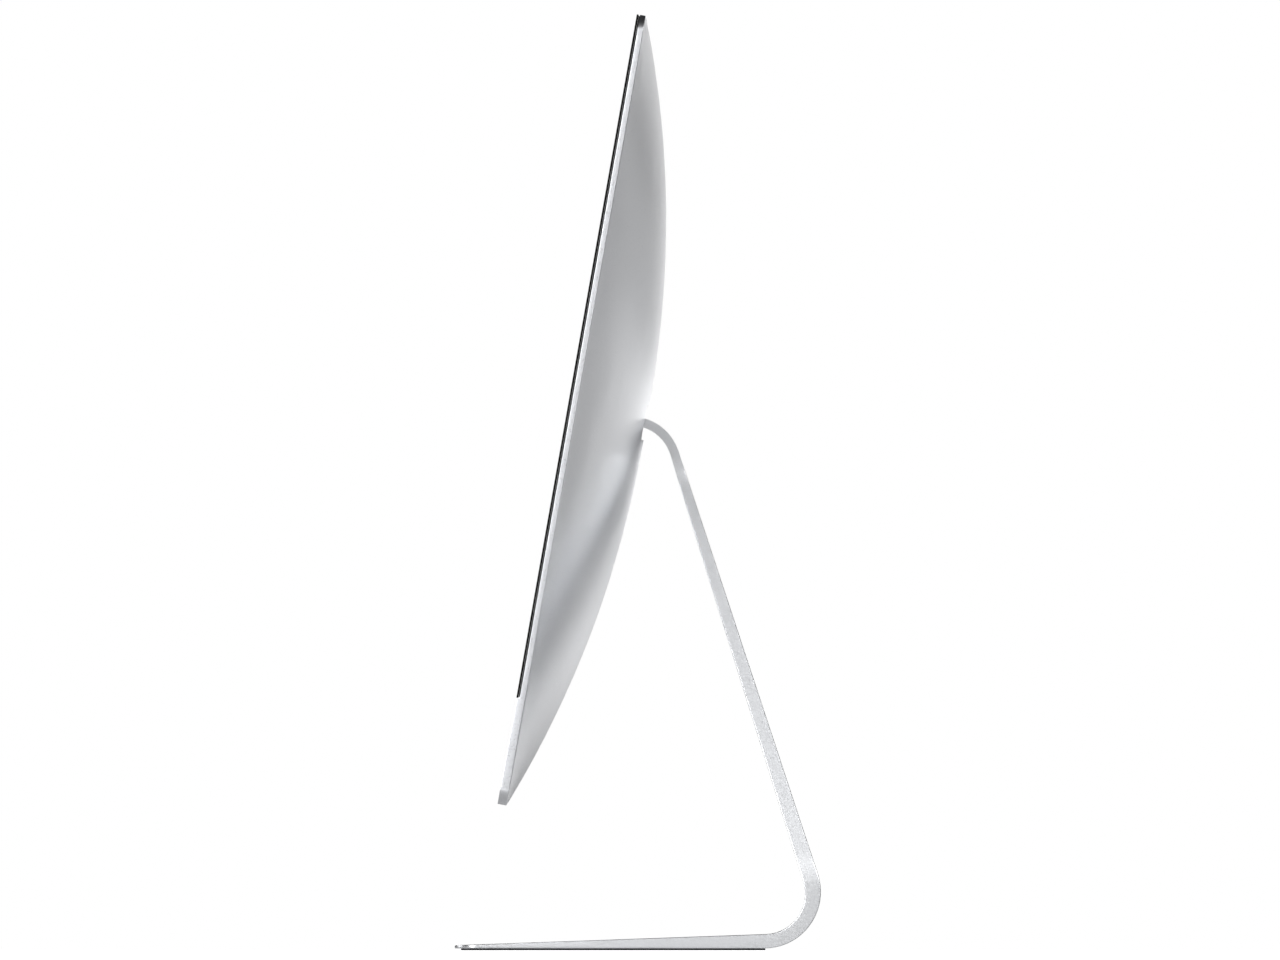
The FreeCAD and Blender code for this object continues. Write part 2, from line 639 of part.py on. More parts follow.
def memory_door():
    """The cover of the memory bay; it swings on two tabs that hook under the housing's wall."""
    leaf = plate("door_blank", "door_width - 2 * door_gap", "door_tall - 2 * door_gap",
                 "door_corner - door_gap", "housing_deep", "housing_deep", ("0", "door_z"))
    skin = common("door_skin", flush("door_outer", leaf), behind_wall)
    tabs = []
    low = "door_z + door_tall / 2 - tab_root"
    for i, x in enumerate(("-tab_x", "tab_x")):
        corner = (f"{x} - tab_wide / 2", "tab_front", low)
        tabs.append(block(f"door_tab_{i}", corner, ("tab_wide", "tab_thick", "tab_root + tab_tall")))
        tabs.append(block(f"door_tab_foot_{i}", corner, ("tab_wide", "tab_foot", "tab_foot_tall")))
    trimmed = flush("door_tabs_trimmed", fuse("door_tabs", *tabs))
    piece("memory_door", fuse("door_whole", skin, trimmed))


# ---------------------------------------------------------------- buttons

dims(
    power_cap=6.4, power_cap_front=11.4, power_stem=2, power_stem_front=9.8, power_stem_long=3,
    switch_side=7, switch_front=7.2, switch_thick=1.6, release_front=31,
)


def buttons():
    # The cap follows the dome, stands in its hole and closes the switch behind it.
    cap = rod("power_cap_rod", ("power_x", "power_cap_front", "power_z"), "power_cap", "housing_deep")
    stem = rod("power_stem_rod", ("power_x", "power_stem_front", "power_z"), "power_stem",
               "power_stem_long")
    piece("power_button", flush("power_cap_flush", fuse("power_cap_stem", cap, stem)))
    switch = slab_at("switch_body", "power_x", "switch_front", "power_z", "switch_side",
                     "switch_thick", "switch_side")
    piece("power_switch", switch)

    button = plate("release_cap", "release_wide - 2 * release_gap", "release_tall - 2 * release_gap",
                   "(release_tall - 2 * release_gap) * round_end", "housing_deep",
                   "housing_deep - release_front", ("0", "release_z"))
    piece("door_release_button", flush("release_flush", button))


# ---------------------------------------------------------------- inlet and ports

dims(
    inlet_body=16.7, inlet_cup=13.6, inlet_front=12.5, inlet_floor=3, pin_wide=2, pin_tall=4,
    pin_long=8, pin_spread=5, pin_drop=2.6, pin_rise=3.4,
    socket_floor=1.2, jack_front=11, jack_floor=1,
    usb_tongue=1.8, usb_tongue_tall=11.4, fast_tongue=1.2, fast_tongue_tall=5.4,
    network_tongue=1, network_tongue_tall=9, network_tongue_off=1.8,
)
TONGUE_DEPTH = {"usb": 1.4, "fast": 1.2, "network": 4}
TONGUE_SHIFT = {
    "usb": "-usb_tongue / 2",
    "fast": "0",
    "network": "network_tongue_off - network_wide / 2",
}


def power_inlet():
    body = rod("inlet_rod", ("0", "inlet_front", "inlet_z"), "inlet_body", "housing_deep")
    cup = rod("inlet_cup", ("0", "inlet_front + inlet_floor", "inlet_z"), "inlet_cup", "housing_deep")
    piece("power_inlet", flush("inlet_flush", cut("inlet", body, cup)))
    places = (("live", "-pin_spread", "-pin_drop"), ("neutral", "pin_spread", "-pin_drop"),
              ("earth", "0", "pin_rise"))
    piece("inlet_pins", *(
        slab_at(f"pin_{name}", x, "inlet_front + inlet_floor", f"inlet_z + {z}", "pin_wide",
                "pin_long", "pin_tall")
        for name, x, z in places
    ))


def socket_tube(port):
    """The metal or plastic shell of a port, from the board to the dome's skin."""
    name = port[0]
    outer = port_plate(f"{name}_outer", port, "housing_deep", "housing_deep - port_board", "port_fit")
    inner = port_plate(f"{name}_inner", port, "housing_deep",
                       "housing_deep - port_board - socket_floor", "port_fit + port_shell")
    return flush(f"{name}_socket", cut(f"{name}_tube", outer, inner))


def port_tongue(port, behind_recess):
    """The contact tongue in a port: it stops short of the dome."""
    name, x, kind = port
    tongue = slab_at(f"{name}_tongue", f"{x} + {TONGUE_SHIFT[kind]}", "port_board + socket_floor",
                     "port_z", f"{kind}_tongue", "housing_deep", f"{kind}_tongue_tall")
    return cut(f"{name}_tongue_cut", tongue, behind_recess)


def ports():
    for label, kind in (("usb_ports", "usb"), ("fast_ports", "fast"), ("card_slot", "card"),
                        ("network_port", "network")):
        piece(label, *(socket_tube(port) for port in PORTS if port[2] == kind))
    tongues = []
    for kind, depth in TONGUE_DEPTH.items():
        behind_recess = behind_dome(f"behind_{kind}_recess", depth)
        tongues += [port_tongue(port, behind_recess) for port in PORTS if port[2] == kind]
    piece("port_contact_tongues", *tongues)
    barrel = rod("jack_rod", ("jack_x", "jack_front", "port_z"), "jack_barrel", "housing_deep")
    bore = rod("jack_bore_rod", ("jack_x", "jack_front + jack_floor", "port_z"), "jack_bore",
               "housing_deep")
    piece("audio_jack", flush("jack_flush", cut("jack", barrel, bore)))


# ---------------------------------------------------------------- electronics

dims(
    board_thick=1.5, screw_cap=2.8, screw_cap_thick=1.1, screw_slack=0.1, screw_bite=1.5,
    logic_low=84, logic_x=-170, logic_wide=184, logic_tall=100,
    cpu_side=37.5, cpu_x=-170, cpu_z=142, cpu_thick=1.2, spreader_side=46, spreader_thick=2.5,
    pipe_radius=2.4, pipe_pitch=20, pipe_low=124, pipe_long=136,
    sink_x=-149, sink_wide=94.2, sink_low=238, sink_tall=22, sink_front=7.2, sink_base=2,
    fin_thick=0.6, fin_pitch=3.9,
    blade_x=-118, blade_wide=22, blade_low=116, blade_tall=66, blade_thick=2.4,
    radio_x=-233, radio_z=160, radio_wide=26, radio_tall=30, radio_thick=2,
    cell_x=-206, cell_z=166, cell_radius=10, cell_thick=3.2,
    link_x=-220, link_wide=30, link_low=176, link_tall=8,
    aerial_x=140, aerial_wide=60, aerial_z=425, aerial_tall=7, aerial_front=4, aerial_thick=1,
    mic_side=6, mic_front=9.6, mic_thick=1.5,
)
FINS = 24


def holed_board(name, middle_x, low, wide, tall, posts):
    """A circuit board with a clearance hole at each of its posts, and the screws that hold it."""
    front = "port_board - board_thick"
    blank = slab_at(f"{name}_blank", middle_x, front, f"{low} + {tall} / 2", wide, "board_thick",
                    tall)
    holes, screws = [], []
    for i, (x, z) in enumerate(posts):
        holes.append(rod(f"{name}_hole_{i}", (x, "0", z), "post_screw", "housing_deep"))
        cap = rod(f"{name}_screw_cap_{i}", (x, f"{front} - screw_cap_thick", z), "screw_cap",
                  "screw_cap_thick")
        shank = rod(f"{name}_shank_{i}", (x, front, z), "post_screw - screw_slack",
                    "board_thick + screw_bite")
        screws.append(fuse(f"{name}_screw_{i}", cap, shank))
    return cut(f"{name}_drilled", blank, *holes), screws


def boards():
    logic, screws = holed_board("logic", "logic_x", "logic_low", "logic_wide", "logic_tall",
                                BOARD_POSTS)
    supply, more_screws = holed_board("supply", "supply_x", "supply_low", "supply_wide", "supply_tall",
                                      SUPPLY_POSTS)
    piece("logic_board", logic)
    piece("power_supply_board", supply)
    piece("board_screws", *screws, *more_screws)


def on_the_board():
    piece("processor", slab_at("processor_slab", "cpu_x", "port_board", "cpu_z", "cpu_side",
                               "cpu_thick", "cpu_side"))
    piece("heat_spreader", slab_at("spreader", "cpu_x", "port_board + cpu_thick", "cpu_z",
                                   "spreader_side", "spreader_thick", "spreader_side"))
    pipes = [
        rod(f"pipe_{i}", (f"cpu_x + {sign} * pipe_pitch / 2",
                          "port_board + cpu_thick + spreader_thick + pipe_radius", "pipe_low"),
            "pipe_radius", "pipe_long", "z")
        for i, sign in enumerate((-1, 1))
    ]
    piece("heat_pipes", *pipes)
    low, base_back = "sink_x - sink_wide / 2", "port_board + cpu_thick + spreader_thick"
    base = block("sink_base_plate", (low, f"{base_back} - sink_base", "sink_low"),
                 ("sink_wide", "sink_base", "sink_tall"))
    fins = [
        block(f"fin_{i}", (f"{low} + {i} * fin_pitch", "sink_front", "sink_low"),
              ("fin_thick", f"{base_back} - sink_front", "sink_tall"))
        for i in range(FINS + 1)
    ]
    piece("heat_sink", fuse("sink_fins", base, *fins))
    piece("storage_card", block("storage_slab", ("blade_x - blade_wide / 2", "port_board", "blade_low"),
                                ("blade_wide", "blade_thick", "blade_tall")))
    piece("wireless_card", slab_at("radio", "radio_x", "port_board", "radio_z", "radio_wide",
                                   "radio_thick", "radio_tall"))
    piece("coin_cell", rod("cell", ("cell_x", "port_board", "cell_z"), "cell_radius", "cell_thick"))
    tray_back = "glass_thick + mask_thick + lcd_air + lcd_thick + tray_thick"
    piece("display_connector", block("link", ("link_x - link_wide / 2", tray_back, "link_low"),
                                     ("link_wide", f"port_board - board_thick - ({tray_back})",
                                      "link_tall")))
    piece("antennas", *(
        slab_at(f"aerial_{i}", f"{sign} * aerial_x", "aerial_front", "aerial_z", "aerial_wide",
                "aerial_thick", "aerial_tall")
        for i, sign in enumerate((-1, 1))
    ))
    piece("microphone", slab_at("mic", "0", "mic_front", "mic_z", "mic_side", "mic_thick", "mic_side"))


dims(
    fan_x=-138, fan_z=314, fan_radius=51, fan_front=7.2, fan_deep=12, fan_wall=1, fan_eye=27,
    duct_wide=70, duct_low=261.5, rotor_radius=45, rotor_hub=17, rotor_front=9.4, rotor_deep=7.4,
    axle_radius=2, axle_fit=0.05, rotor_blade=1.1, rotor_root=15,
)
FAN_BLADES = 29
BLADE_RAKE = 18


def fan():
    at = ("fan_x", "fan_front", "fan_z")
    inner = "fan_radius - fan_wall"
    outside = fuse("fan_outside", rod("fan_drum", at, "fan_radius", "fan_deep"), block(
        "fan_duct", ("fan_x - duct_wide / 2", "fan_front", "duct_low"),
        ("duct_wide", "fan_deep", "fan_z - duct_low")))
    hollow = fuse("fan_hollow", rod("fan_bore", ("fan_x", "fan_front + fan_wall", "fan_z"), inner,
                                    "fan_deep - 2 * fan_wall"), block(
        "fan_duct_hollow", ("fan_x - duct_wide / 2 + fan_wall", "fan_front + fan_wall",
                            "duct_low - over"),
        ("duct_wide - 2 * fan_wall", "fan_deep - 2 * fan_wall", "fan_z - duct_low + over")))
    eye = rod("fan_eye_hole", ("fan_x", "fan_front + fan_deep / 2", "fan_z"), "fan_eye", "fan_deep")
    axle = rod("fan_axle", ("fan_x", "fan_front + fan_wall / 2", "fan_z"), "axle_radius",
               "fan_deep - fan_wall")
    piece("fan_housing", fuse("fan_case", cut("fan_shell", outside, hollow, eye), axle))

    blades = []
    middle = Vector(value_of("fan_x"), value_of("rotor_front"), value_of("fan_z"))
    for i in range(FAN_BLADES):
        turn = Placement(Vector(), Rotation(Vector(0, 1, 0), 360 * i / FAN_BLADES))
        slip = doc.addObject("Part::Box", f"rotor_blade_{i}")
        bind(slip, Length="rotor_radius - rotor_root", Width="rotor_deep", Height="rotor_blade")
        slip.Placement = Placement(middle, Rotation()) * turn * Placement(
            Vector(value_of("rotor_root"), 0, 0), Rotation(Vector(0, 1, 0), BLADE_RAKE))
        blades.append(slip)
    hub = rod("rotor_hub_rod", ("fan_x", "rotor_front", "fan_z"), "rotor_hub", "rotor_deep")
    bore = rod("rotor_bore", ("fan_x", "0", "fan_z"), "axle_radius + axle_fit", "housing_deep")
    piece("fan_impeller", cut("rotor", fuse("rotor_solid", hub, *blades), bore))


dims(
    drive_half=73.5, drive_low=266, drive_tall=101, drive_front=7.2, drive_deep=19.5,
    rail_thick=4, rail_tall=80, rail_deep=15.6,
    supply_x=183, supply_wide=158, supply_low=92, supply_tall=158,
    coil_x=146, coil_z=176, coil_side=40, coil_deep=19, cap_radius=10, cap_long=16, cap_pitch=24,
    cap_x=196, cap_z=208, filter_x=226, filter_z=134, filter_side=22, filter_deep=7,
    lead_radius=1.6, lead_pitch=3.6, lead_end=106, lead_front=15, lead_plug_long=10,
    lead_plug_deep=7, lead_plug_tall=12,
    speaker_from=120, speaker_long=172, speaker_low=9, speaker_tall=44, speaker_front=1.9,
    plate_thick=2, plate_wide=16, plate_tall=18, plate_front=12.2,
)


def drive_and_supply():
    piece("hard_drive", block("drive", ("-drive_half", "drive_front", "drive_low"),
                              ("2 * drive_half", "drive_deep", "drive_tall")))
    piece("drive_rails", *(
        slab_at(f"rail_{i}", f"{sign} * (drive_half + rail_thick / 2)", "drive_front",
                "drive_low + drive_tall / 2", "rail_thick", "rail_deep", "rail_tall")
        for i, sign in enumerate((-1, 1))
    ))
    piece("supply_transformer", slab_at("coil", "coil_x", "port_board", "coil_z", "coil_side",
                                        "coil_deep", "coil_side"))
    piece("supply_capacitors", *(
        rod(f"capacitor_{i}", ("cap_x", "port_board", f"cap_z + {i} * cap_pitch"), "cap_radius",
            "cap_long")
        for i in range(2)
    ))
    piece("mains_filter", slab_at("filter", "filter_x", "port_board", "filter_z", "filter_side",
                                  "filter_deep", "filter_side"))
    plug = slab_at("lead_plug", "lead_end + lead_plug_long / 2", "port_board", "inlet_z",
                   "lead_plug_long", "lead_plug_deep", "lead_plug_tall")
    piece("mains_lead", plug, *(
        rod(f"lead_{i}", ("inlet_body", "lead_front", f"inlet_z + ({i} - 1) * lead_pitch"),
            "lead_radius", "lead_end - inlet_body", "x")
        for i in range(3)
    ))


def speakers():
    for side, start in (("left", "-speaker_from - speaker_long"), ("right", "speaker_from")):
        blank = block(f"speaker_blank_{side}", (start, "speaker_front", "speaker_low"),
                      ("speaker_long", "housing_deep", "speaker_tall"))
        piece(f"speaker_{side}", inside(f"speaker_box_{side}", blank))


def lock_plate():
    steel = slab_at("lock_steel", "lock_x", "plate_front", "lock_z", "plate_wide", "plate_thick",
                    "plate_tall")
    slot = slab_at("lock_steel_slot", "lock_x", "0", "lock_z", "lock_wide", "housing_deep",
                   "lock_tall")
    piece("lock_plate", cut("lock_steel_cut", steel, slot))


# ---------------------------------------------------------------- stand

dims(
    stand_width=245, top_width=144, stand_reach=101.5, foot_under=1,
    foot_slope=2.05, foot_rise=6.42, arm_front_lean=17.3, arm_front_start=104.5,
    arm_rear_lean=18.25, arm_rear_start=114.81,
    heel_radius=31.5, shoulder_radius=28, neck_radius=22.8, instep_radius=22.5, tip_radius=0.8,
    taper_low=44, taper_high=268, taper_blend=90, toe_radius=12,
    cable_hole=18, cable_hole_z=91, shoulder_gap=37, tongue_narrow=50.5, step_half=10,
    pad_front=-98, pad_back=71.5, pad_half=117, pad_corner=9,
)


def upright_plate(name, half, front, back, radius, thickness):
    """A plate that lies flat from z = 0 up, with its two front corners rounded."""
    body = doc.addObject("PartDesign::Body", name)
    sketch = new_sketch(body, name + "_outline", "XY_Plane")
    x, low, high, r = (value_of(text) for text in (half, front, back, radius))
    corners = [((-x, low), r), ((x, low), r), ((x, high), 0), ((-x, high), 0)]
    lines, arcs = outline(sketch, [(Vector(*point, 0), turn) for point, turn in corners])
    bottom, right, top, left = lines
    for line in (bottom, top):
        constrain(sketch, "Horizontal", line)
    for line in (left, right):
        constrain(sketch, "Vertical", line)
    constrain(sketch, "Equal", arcs[0], arcs[1])
    constrain(sketch, "Radius", arcs[0], to=radius)
    constrain(sketch, "DistanceX", left, 2, right, 1, to=f"2 * ({half})")
    constrain(sketch, "DistanceX", -1, 1, right, 1, to=half)
    constrain(sketch, "DistanceY", -1, 1, top, 1, to=back)
    constrain(sketch, "DistanceY", bottom, 1, -1, 1, to=f"-({front})")
    add_pad(body, name + "_pad", sketch, thickness)
    return body


def stand_side(body):
    """The side view of the bent plate: a wedge foot, the heel, the leaning arm and the tongue."""
    sketch = new_sketch(body, "stand_side", "YZ_Plane")
    tilt, axis = value_of("tilt"), Vector(HINGE.y, HINGE.z, 0)
    along = Vector(math.cos(math.radians(tilt)), -math.sin(math.radians(tilt)), 0)
    across = Vector(-along.y, along.x, 0)

    def leaning(start, lean):
        slope = math.radians(value_of(lean))
        return Vector(value_of(start), 0, 0), Vector(-math.sin(slope), math.cos(slope), 0)

    def meet(one, other):
        (p, d), (q, e) = one, other
        share = (q - p).cross(e).z / d.cross(e).z
        return p + d * share

    reach, under = value_of("stand_reach"), value_of("foot_under")
    half = value_of("tongue_thick") / 2
    slope = math.radians(value_of("foot_slope"))
    bottom = (Vector(0, under, 0), Vector(1, 0, 0))
    front = (Vector(-reach, 0, 0), Vector(0, 1, 0))
    rear = leaning("arm_rear_start", "arm_rear_lean")
    arm_front = leaning("arm_front_start", "arm_front_lean")
    foot_top = (Vector(0, value_of("foot_rise"), 0), Vector(math.cos(slope), math.sin(slope), 0))
    tongue_top, tongue_bottom = (axis + across * half, along), (axis - across * half, along)
    tongue_end = (axis + along * (value_of("tongue_front") - value_of("hinge_depth")), across)
    lines = [bottom, rear, tongue_top, tongue_end, tongue_bottom, arm_front, foot_top, front]
    radii = ["", "heel_radius", "shoulder_radius", "", "", "neck_radius", "instep_radius", "tip_radius"]
    corners = [
        (meet(lines[i - 1], line), value_of(radius) if radius else 0)
        for i, (line, radius) in enumerate(zip(lines, radii))
    ]
    edges, arcs = outline(sketch, corners)
    for arc, radius in zip(arcs, [r for r in radii if r]):
        constrain(sketch, "Radius", arc, to=radius)
    floor, back, top, end, low, arm, instep, toe = edges
    constrain(sketch, "Horizontal", floor)
    constrain(sketch, "Vertical", toe)
    constrain(sketch, "DistanceY", -1, 1, floor, 1, to="foot_under")
    constrain(sketch, "DistanceX", toe, 2, -1, 1, to="stand_reach")
    for line, (point, _), at in (
        (back, rear, ("arm_rear_start", "0")), (arm, arm_front, ("arm_front_start", "0")),
        (instep, foot_top, ("0", "foot_rise")),
    ):
        pin = sketch.addGeometry(Part.Point(point), True)
        constrain(sketch, "PointOnObject", pin, 1, line)
        if at[0] == "0":
            constrain(sketch, "PointOnObject", pin, 1, -2)
            constrain(sketch, "DistanceY", -1, 1, pin, 1, to=at[1])
        else:
            constrain(sketch, "PointOnObject", pin, 1, -1)
            constrain(sketch, "DistanceX", -1, 1, pin, 1, to=at[0])
    return sketch


def stand_front(body):
    """What is cut off at both sides of the plate, seen from the front, so that the arm tapers."""
    sketch = new_sketch(body, "stand_front", "XZ_Plane")
    outer, inner = value_of("stand_width") / 2, value_of("top_width") / 2
    low, high, top = value_of("taper_low"), value_of("taper_high"), 2 * value_of("taper_high")
    blend = value_of("taper_blend")
    for side in (-1, 1):
        points = [(outer, low / 2), (outer, low), (inner, high), (inner, top),
                  (2 * outer, top), (2 * outer, low / 2)]
        loop = [(Vector(side * x, z, 0), blend if 0 < i < 3 else 0) for i, (x, z) in enumerate(points)]
        outline(sketch, loop if side < 0 else loop[::-1])
    return sketch


def stand():
    body = doc.addObject("PartDesign::Body", "stand_plate")
    add_pad(body, "stand_pad", stand_side(body), "stand_width + 2 * over", "Symmetric")
    taper = body.newObject("PartDesign::Pocket", "stand_taper")
    taper.Profile = stand_front(body)
    taper.Type = "ThroughAll"
    taper.Midplane = True
    body.Tip = taper
    footprint = upright_plate("stand_plan", "stand_width / 2", "-stand_reach", "2 * stand_reach",
                              "toe_radius", "4 * stand_reach")
    body = common("stand_bent", body, footprint)

    ALONG["arm"] = Rotation(Vector(1, 0, 0), value_of("arm_rear_lean") - 90)
    hole = rod("cable_hole_cut", ("0", "0", "cable_hole_z"), "cable_hole", "2 * stand_reach", "arm")
    tools = [leaf_screw_hole(f"tongue_hole_{i}", i) for i in range(LEAF_SCREWS)]
    tools += [
        block(f"tongue_step_{i}", (start, "leaf_front", "hinge_height - step_half"),
              ("tongue_narrow", "shoulder_gap - leaf_front", "2 * step_half"))
        for i, start in enumerate(("tongue_narrow", "-2 * tongue_narrow"))
    ]
    in_panel = doc.addObject("Part::Compound", "tongue_cuts")
    in_panel.Links = tools
    in_panel.Placement = PANEL
    piece("stand", cut("stand_cut", body, hole, in_panel), frame=ROW)


def foot_pad():
    piece("foot_pad", upright_plate("foot_pad_body", "pad_half", "pad_front", "pad_back", "pad_corner",
                                    "foot_under"), frame=ROW)


for section in (rear_housing, display, hinge, memory_bay, memory_door, buttons, power_inlet, ports,
                boards, on_the_board, fan, drive_and_supply, speakers, lock_plate, stand, foot_pad):
    section()

doc.removeObject(scratch.Name)
doc.recompute()
failed = [o.Name for o in doc.Objects if "Invalid" in o.State or "Error" in o.State]
if failed:
    raise RuntimeError(f"these objects failed: {failed}")
os.makedirs("parts", exist_ok=True)
for thing in PIECES:
    shape = thing.Shape
    if shape.isNull() or not shape.isValid() or not shape.Solids:
        raise RuntimeError(f"{thing.Label} is not a valid solid")
    shape.exportStep(f"parts/{thing.Label}.step")
    print(f"{thing.Label:26s} {len(shape.Solids):3d} solids {shape.Volume / 1000:10.2f} cm3")
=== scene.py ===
"""Looks for the all-in-one PC: anodised shell and stand, black glass, sockets, floor and light."""

import bmesh
import bpy
import json
import math
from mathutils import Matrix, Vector

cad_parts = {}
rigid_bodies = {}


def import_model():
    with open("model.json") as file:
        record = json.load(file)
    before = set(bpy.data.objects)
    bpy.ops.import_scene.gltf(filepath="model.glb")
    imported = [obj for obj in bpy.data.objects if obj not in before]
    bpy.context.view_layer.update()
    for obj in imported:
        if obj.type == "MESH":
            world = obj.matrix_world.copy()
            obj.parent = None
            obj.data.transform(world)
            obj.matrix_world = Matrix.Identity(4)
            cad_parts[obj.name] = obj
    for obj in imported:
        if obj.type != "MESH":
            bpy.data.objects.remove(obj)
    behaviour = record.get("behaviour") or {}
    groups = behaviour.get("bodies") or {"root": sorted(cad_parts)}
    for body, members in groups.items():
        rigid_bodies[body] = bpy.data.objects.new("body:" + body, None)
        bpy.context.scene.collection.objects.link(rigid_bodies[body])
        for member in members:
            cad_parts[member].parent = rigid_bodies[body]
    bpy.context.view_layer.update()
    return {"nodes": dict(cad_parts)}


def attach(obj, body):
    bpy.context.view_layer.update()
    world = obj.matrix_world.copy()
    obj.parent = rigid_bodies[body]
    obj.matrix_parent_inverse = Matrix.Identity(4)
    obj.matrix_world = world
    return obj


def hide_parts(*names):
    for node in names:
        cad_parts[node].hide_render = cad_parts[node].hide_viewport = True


for leftover in list(bpy.data.objects):
    bpy.data.objects.remove(leftover)

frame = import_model()
nodes = frame["nodes"]

MM = 0.001

# The panel frame: x to the right, u up along the glass, v from the glass's face towards the back.
TILT = math.radians(10)
BACK = Vector((0, math.cos(TILT), -math.sin(TILT)))
UP = Vector((0, math.sin(TILT), math.cos(TILT)))
CORNER = Vector((0, -77.66, 81.5)) * MM
HALF_WIDTH, HEIGHT, CHIN = 325 * MM, 446.6 * MM, 60 * MM
CORNER_RADIUS = 9 * MM


def from_panel(x, u, v):
    """The place in the row frame of a point given in the panel frame."""
    return CORNER + Vector((x, 0, 0)) + UP * u + BACK * v


def in_panel(point):
    offset = point - CORNER
    return point.x, offset.dot(UP), offset.dot(BACK)


# ---------------------------------------------------------------- camera

CAMERA_SPAN = 0.7129
CAMERA_AIM = Vector((0, 0.00167, 0.2619))
CAMERA_DISTANCE = 3.0


def camera():
    data = bpy.data.cameras.new("camera")
    data.type = "ORTHO"
    data.ortho_scale = CAMERA_SPAN
    eye = bpy.data.objects.new("camera", data)
    bpy.context.scene.collection.objects.link(eye)
    eye.location = CAMERA_AIM + Vector((CAMERA_DISTANCE, 0, 0))
    eye.rotation_euler = Vector((-1, 0, 0)).to_track_quat("-Z", "Y").to_euler()
    bpy.context.scene.camera = eye


# ---------------------------------------------------------------- shader helpers

def material(name):
    made = bpy.data.materials.new(name)
    made.use_nodes = True
    tree = made.node_tree
    return made, tree, tree.nodes["Principled BSDF"]


def add(tree, kind, **values):
    """Adds a shader node, with its properties, and with its inputs where a name starts with _."""
    node = tree.nodes.new(kind)
    for key, value in values.items():
        if key.startswith("_"):
            node.inputs[key[1:].replace("_", " ")].default_value = value
        else:
            setattr(node, key, value)
    return node


def object_space(tree, scale=(1, 1, 1)):
    where = add(tree, "ShaderNodeTexCoord").outputs["Object"]
    if scale == (1, 1, 1):
        return where
    mapping = add(tree, "ShaderNodeMapping", _Scale=scale)
    tree.links.new(where, mapping.inputs["Vector"])
    return mapping.outputs["Vector"]


def panel_space(tree):
    """Object coordinates turned and moved to the panel frame: x, then u as Z and v as Y."""
    where = add(tree, "ShaderNodeTexCoord").outputs["Object"]
    mapping = add(tree, "ShaderNodeMapping", vector_type="TEXTURE", _Location=CORNER,
                  _Rotation=(-TILT, 0, 0))
    tree.links.new(where, mapping.inputs["Vector"])
    return mapping.outputs["Vector"]


def noise(tree, where, scale, detail=2.0, roughness=0.5):
    node = add(tree, "ShaderNodeTexNoise", _Scale=scale, _Detail=detail, _Roughness=roughness)
    tree.links.new(where, node.inputs["Vector"])
    return node.outputs["Fac"]


def cells(tree, where, scale, feature="F1"):
    node = add(tree, "ShaderNodeTexVoronoi", feature=feature, _Scale=scale)
    tree.links.new(where, node.inputs["Vector"])
    return node.outputs["Distance"]


def between(tree, fac, low, high, start=0.0, end=1.0):
    """Maps a factor from start..end to low..high, both numbers or both colours."""
    if isinstance(low, tuple):
        ramp = add(tree, "ShaderNodeValToRGB")
        first, last = ramp.color_ramp.elements
        first.position, last.position = start, end
        first.color, last.color = (*low, 1), (*high, 1)
        tree.links.new(fac, ramp.inputs["Fac"])
        return ramp.outputs["Color"]
    node = add(tree, "ShaderNodeMapRange", _From_Min=start, _From_Max=end,
               _To_Min=low, _To_Max=high)
    tree.links.new(fac, node.inputs["Value"])
    return node.outputs["Result"]


def math_node(tree, operation, one, other=None):
    node = add(tree, "ShaderNodeMath", operation=operation)
    for socket, value in zip(node.inputs, (one, other)):
        if value is None:
            continue
        if isinstance(value, (int, float)):
            socket.default_value = value
        else:
            tree.links.new(value, socket)
    return node.outputs[0]


def mixed(tree, fac, one, other, blend="MIX"):
    """Mixes two colours; each may be a socket or a colour, and fac a socket or a number."""
    node = add(tree, "ShaderNodeMix", data_type="RGBA", blend_type=blend)
    for key, value in (("Factor", fac), ("A", one), ("B", other)):
        sockets = [s for s in node.inputs if s.name == key and s.enabled]
        if isinstance(value, tuple):
            sockets[0].default_value = (*value, 1)
        elif isinstance(value, (int, float)):
            sockets[0].default_value = value
        else:
            tree.links.new(value, sockets[0])
    return next(s for s in node.outputs if s.name == "Result" and s.enabled)


def bump(tree, shader, height, distance, strength):
    node = add(tree, "ShaderNodeBump", _Strength=strength, _Distance=distance)
    tree.links.new(height, node.inputs["Height"])
    tree.links.new(node.outputs["Normal"], shader.inputs["Normal"])


def scaled(colour, by):
    return tuple(c * by for c in colour)


# ---------------------------------------------------------------- materials

def blasted_aluminium(name, base, rough):
    """Bead-blasted and anodised: a fine even grain, faint clouds, and a slightly uneven gloss."""
    made, tree, shader = material(name)
    where = object_space(tree)
    fine = noise(tree, where, 1500.0, 3.0, 0.7)
    clouds = noise(tree, where, 9.0, 3.0, 0.5)
    speckle = between(tree, fine, scaled(base, 0.945), base, 0.36, 0.62)
    cloud = between(tree, clouds, (0.975, 0.976, 0.98), (1.0, 1.0, 1.0), 0.35, 0.65)
    tree.links.new(mixed(tree, 1.0, speckle, cloud, "MULTIPLY"), shader.inputs["Base Color"])
    tree.links.new(between(tree, fine, rough - 0.04, rough + 0.05, 0.3, 0.7),
                   shader.inputs["Roughness"])
    shader.inputs["Metallic"].default_value = 1.0
    bump(tree, shader, fine, 0.00003, 0.5)
    return made


